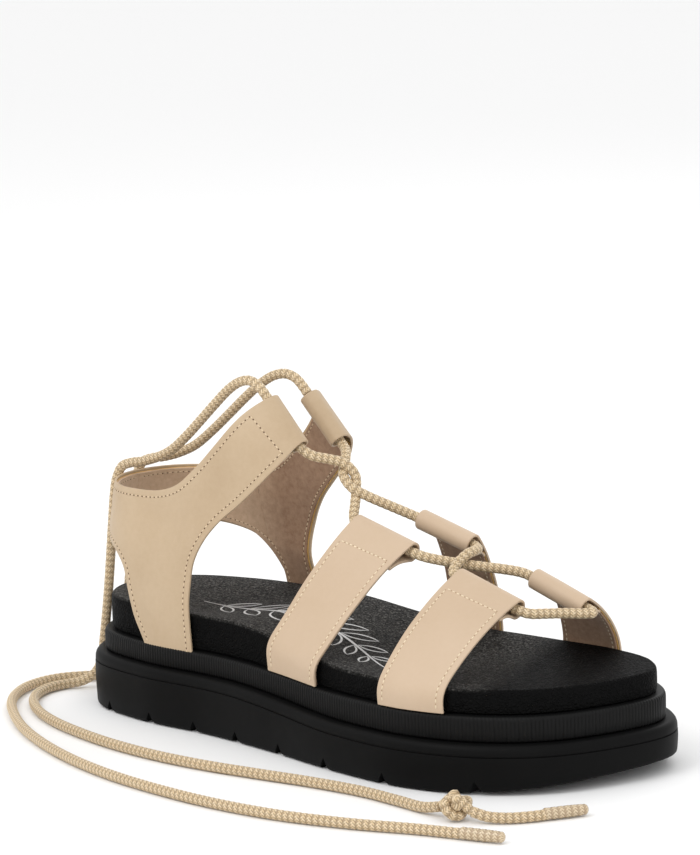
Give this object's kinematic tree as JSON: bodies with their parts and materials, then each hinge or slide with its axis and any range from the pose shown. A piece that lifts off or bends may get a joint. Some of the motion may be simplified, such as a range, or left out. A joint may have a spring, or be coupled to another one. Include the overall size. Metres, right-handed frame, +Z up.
{
  "type": "gladiator sandal",
  "caption": "Flatform gladiator sandal, right foot: heel quarter and paired instep and toe straps, each folded into a tunnel for one lace that crosses over the foot and ties round the ankle.",
  "frame": {"origin": "centre of the shoe's box at the floor, without the free ties", "axes": "+X towards the toe, +Y towards the inner (medial) side of the foot, +Z up"},
  "size_m": [0.3147, 0.17, 0.1393],
  "materials": {
    "outsole": "matt black",
    "midsole": "matt black, finely ribbed edge",
    "footbed": "black grained leather look, semi-matt",
    "heel_quarter": "smooth nude leather, satin",
    "instep_strap_outer": "smooth nude leather, satin",
    "instep_strap_inner": "smooth nude leather, satin",
    "toe_strap_outer": "smooth nude leather, satin",
    "toe_strap_inner": "smooth nude leather, satin",
    "lace_crossings": "round braid, cream and gold",
    "lace_tie_outer": "round braid, cream and gold",
    "lace_tie_inner": "round braid, cream and gold",
    "lace_knot": "round braid, cream and gold",
    "lace_tip_outer": "round braid, cream and gold",
    "aglet_outer": "clear shrunk tube over the lace",
    "aglet_inner": "clear shrunk tube over the lace"
  },
  "bodies": {
    "root": {"outsole": "outsole", "midsole": "midsole", "footbed": "footbed", "heel_quarter": "heel_quarter", "instep_strap_outer": "instep_strap_outer", "instep_strap_inner": "instep_strap_inner", "toe_strap_outer": "toe_strap_outer", "toe_strap_inner": "toe_strap_inner", "lace_crossings": "lace_crossings", "lace_tie_outer": "lace_tie_outer", "lace_tie_inner": "lace_tie_inner", "lace_knot": "lace_knot", "lace_tip_outer": "lace_tip_outer", "aglet_outer": "aglet_outer", "aglet_inner": "aglet_inner"}
  },
  "joints": []
}
